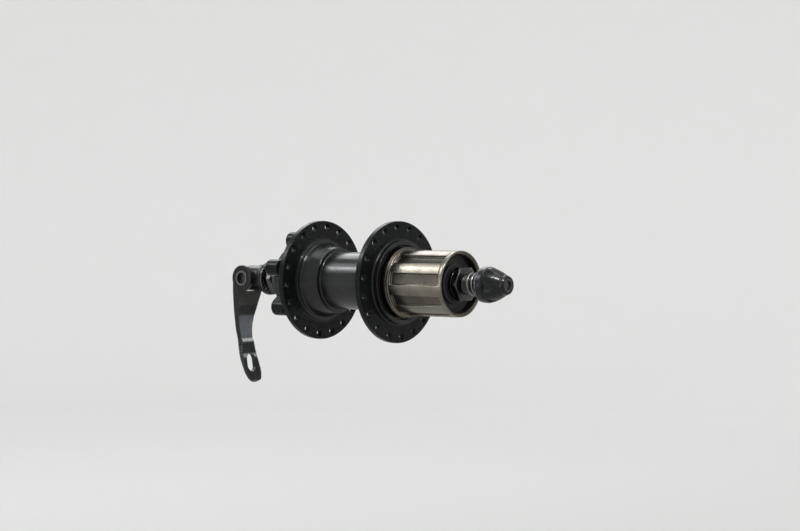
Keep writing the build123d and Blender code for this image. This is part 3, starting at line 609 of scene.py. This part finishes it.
# ---- Axle ---------------------------------------------------------------------------------------
def threaded_tube(name, outer, inner, end, pitch, depth, plain):
    """A tube with a real helical thread, smooth between the two places given by plain."""
    count = 72
    rows = int(2 * end / (pitch / 8))
    chamfer_length, chamfer_depth = 0.8, 0.7
    flank = 0.8                # below one the groove is wider at its floor
    bm = bmesh.new()
    skin = []
    for row in range(rows + 1):
        y = -end + 2 * end * row / rows
        near_end = min(1.0, min(y + end, end - y) / chamfer_length)
        ring = []
        for k in range(count):
            phase = (y / pitch - k / count) % 1.0
            groove = 0.0 if plain[0] < y < plain[1] else depth * (1 - abs(2 * phase - 1)) ** flank
            radius = outer - groove - chamfer_depth * (1 - near_end)
            turn = tau * k / count
            ring.append(bm.verts.new((radius * cos(turn) * MM, y * MM, radius * sin(turn) * MM)))
        skin.append(ring)
    for y in (end, -end):
        skin.append([bm.verts.new(point) for point in circle(inner, y, count=count)])
    for here, there in zip(skin, skin[1:] + skin[:1]):
        for k in range(count):
            after = (k + 1) % count
            bm.faces.new((here[k], here[after], there[after], there[k]))
    bmesh.ops.recalc_face_normals(bm, faces=bm.faces)
    return written(name, bm)


axle_mesh = threaded_tube("axle_thread", AXLE_R, AXLE_BORE_R, AXLE_END, AXLE_PITCH, 0.55, (-50.0, 46.0))
crisp(keep("axle_skin", axle_mesh, "axle", "axle_steel", AXLE_STEEL, "axle"))
for node in ("left_locknut", "right_locknut"):
    worn(node, node + "_skin", "axle", "axle_steel", NUT_STEEL, 0.16, 3)
for node in ("left_lock_washer", "right_lock_washer", "left_spacer", "right_spacer"):
    worn(node, node + "_skin", "axle", "axle_steel", AXLE_STEEL, 0.16, 2)


# ---- Freehub ------------------------------------------------------------------------------------
worn("freehub_body", "freehub_skin", "freehub", "freehub_steel", FREEHUB_STEEL, 0.22, 3, ratio=0.35)


# ---- Quick release ------------------------------------------------------------------------------
def rise(z, start, end):
    """An eased step from nought at start to one at end."""
    t = min(1.0, max(0.0, (z - start) / (end - start)))
    return t * t * (3 - 2 * t)


def lever_skin():
    """The lever with rounded edges, a crease above the paddle and a serrated edge."""
    blade_top, grip_top, grip_end = -17, -38, -55
    grip_pitch, grip_depth = 1.5, 0.26
    mesh = softened("qr_lever", 0.2, 9)
    for vertex, normal in zip(mesh.vertices, [v.normal.copy() for v in mesh.vertices]):
        x, z = vertex.co.x / MM, vertex.co.z / MM
        if z > blade_top:
            continue
        # the inner face sinks below the boss, swells to a crease, and falls away over the paddle
        hollow = -0.4 * rise(z, blade_top, -21.5) + 0.6 * rise(z, -21.5, -33.6)
        ledge = 0.6 * rise(z, -33.8, -35.4) - 0.8 * rise(z, -36.0, -47.0)
        inner_face = max(0.0, -normal.y)
        grip = grip_depth * sin(tau * z / grip_pitch) if grip_end < z < grip_top else 0.0
        outward = normal.x if x > WINDOW_X else -normal.x
        side_face = max(0.0, outward - 0.35)
        vertex.co += Vector((0.0, -1.0, 0.0)) * (hollow + ledge) * inner_face * MM
        vertex.co += normal * grip * side_face * MM
    keep("qr_lever_skin", mesh, "lever", "qr_black", LEVER_BLACK, "qr_lever")


lever_skin()
worn("qr_housing", "qr_housing_skin", "qr", "qr_black", QR_BLACK, 0.2, 4)
worn("qr_nut", "qr_nut_skin", "nut", "qr_black", NUT_BLACK, 0.18, 1)
worn("cam_cap_nut", "cam_cap_skin", "lever", "qr_black", QR_BLACK, 0.16, 3)
worn("cam_shaft", "cam_shaft_skin", "lever", "cam_steel", CAM_STEEL, 0.14, 2)
worn("qr_clamp_ring", "qr_clamp_skin", "qr", "axle_steel", NUT_STEEL, 0.13, 2)
worn("nut_clamp_ring", "nut_clamp_skin", "nut", "axle_steel", NUT_STEEL, 0.13, 2)


# ---- Camera -------------------------------------------------------------------------------------
AZIMUTH = -49.81
ELEVATION = 1.54
CAMERA_PLACE = (-0.7802, -0.6815, 0.0363)
LENS_MM = 86.9625

camera_data = bpy.data.cameras.new("camera")
camera_data.sensor_width = 36.0
camera_data.lens = LENS_MM
camera_data.clip_end = 20.0
camera = bpy.data.objects.new("camera", camera_data)
camera.location = CAMERA_PLACE
camera.rotation_euler = (radians(90 - ELEVATION), 0, radians(AZIMUTH))
scene.collection.objects.link(camera)
scene.camera = camera


# ---- Light --------------------------------------------------------------------------------------
def area_light(name, place, size, power, colour=(1.0, 1.0, 1.0)):
    """A soft rectangular light that points at the hub."""
    data = bpy.data.lights.new(name, "AREA")
    data.shape = "RECTANGLE"
    data.size, data.size_y = size
    data.energy = power
    data.color = colour
    light = bpy.data.objects.new(name, data)
    light.location = place
    light.rotation_euler = (-Vector(place)).to_track_quat("-Z", "Y").to_euler()
    scene.collection.objects.link(light)


area_light("key_light", (-0.55, -0.40, 1.05), (0.20, 0.17), 10.0, (1.0, 0.985, 0.96))
area_light("sky_light", (-0.9, 1.3, 1.2), (1.0, 0.8), 7.5, (0.95, 0.98, 1.0))
area_light("spark_light", (-0.68, 0.98, 0.9), (0.12, 0.26), 1.9, (0.97, 0.99, 1.0))
area_light("low_light", (-1.7, 0.9, 0.15), (0.4, 1.2), 7.0, (0.93, 0.97, 1.0))
area_light("side_light", (0.5, -1.8, 0.6), (0.5, 1.3), 7.0, (1.0, 0.99, 0.97))
area_light("back_light", (0.9, 1.2, 1.2), (1.2, 0.8), 10.0)
area_light("top_light", (0.0, 0.0, 1.9), (1.4, 1.4), 13.0)

world = bpy.data.worlds.new("room_light")
world.use_nodes = True
background = world.node_tree.nodes["Background"]
background.inputs["Color"].default_value = (0.93, 0.94, 0.95, 1.0)
background.inputs["Strength"].default_value = 0.74
scene.world = world
scene.view_settings.view_transform = "Standard"


# ---- Floor --------------------------------------------------------------------------------------
def sweep_floor():
    """A pale round floor that curves up into a wall all round, well below the hub, in metres, with painted
    shade darkening its middle.
    """
    floor_z, flat_r, bend_r, wall = -0.34, 2.6, 0.8, 2.6
    steps = 12
    outline = [(flat_r, floor_z)]
    for step in range(1, steps + 1):
        turn = pi / 2 * step / steps
        outline.append((flat_r + bend_r * sin(turn), floor_z + bend_r * (1 - cos(turn))))
    outline.append((flat_r + bend_r, floor_z + wall))
    bm = bmesh.new()
    count = 96
    rings = []
    for radius, height in outline:
        turns = [tau * k / count for k in range(count)]
        rings.append([bm.verts.new((radius * cos(turn), radius * sin(turn), height)) for turn in turns])
    centre = bm.verts.new((0, 0, floor_z))
    for k in range(count):
        after = (k + 1) % count
        bm.faces.new((centre, rings[0][k], rings[0][after]))
        for low, high in zip(rings, rings[1:]):
            bm.faces.new((low[k], high[k], high[after], low[after]))
    bmesh.ops.recalc_face_normals(bm, faces=bm.faces)
    mesh = written("studio_floor", bm)
    floor = bpy.data.objects.new("studio_floor", mesh)
    scene.collection.objects.link(floor)
    g = Graph("studio_paint")
    away = g.add("ShaderNodeVectorMath", operation="LENGTH")
    g.link(g.place, away.inputs[0])
    # painted shade: the middle of the floor, under the lights, is painted darker and fades to pale outward
    near = g.mix(g.noise(3.0, 4.0), (0.43, 0.43, 0.425, 1.0), (0.45, 0.45, 0.445, 1.0))
    far = (0.88, 0.88, 0.87, 1.0)
    g.finish(g.mix(g.spread(away.outputs["Value"], 0.9, flat_r), near, far), 0.85)
    mesh.materials.append(g.material)


sweep_floor()
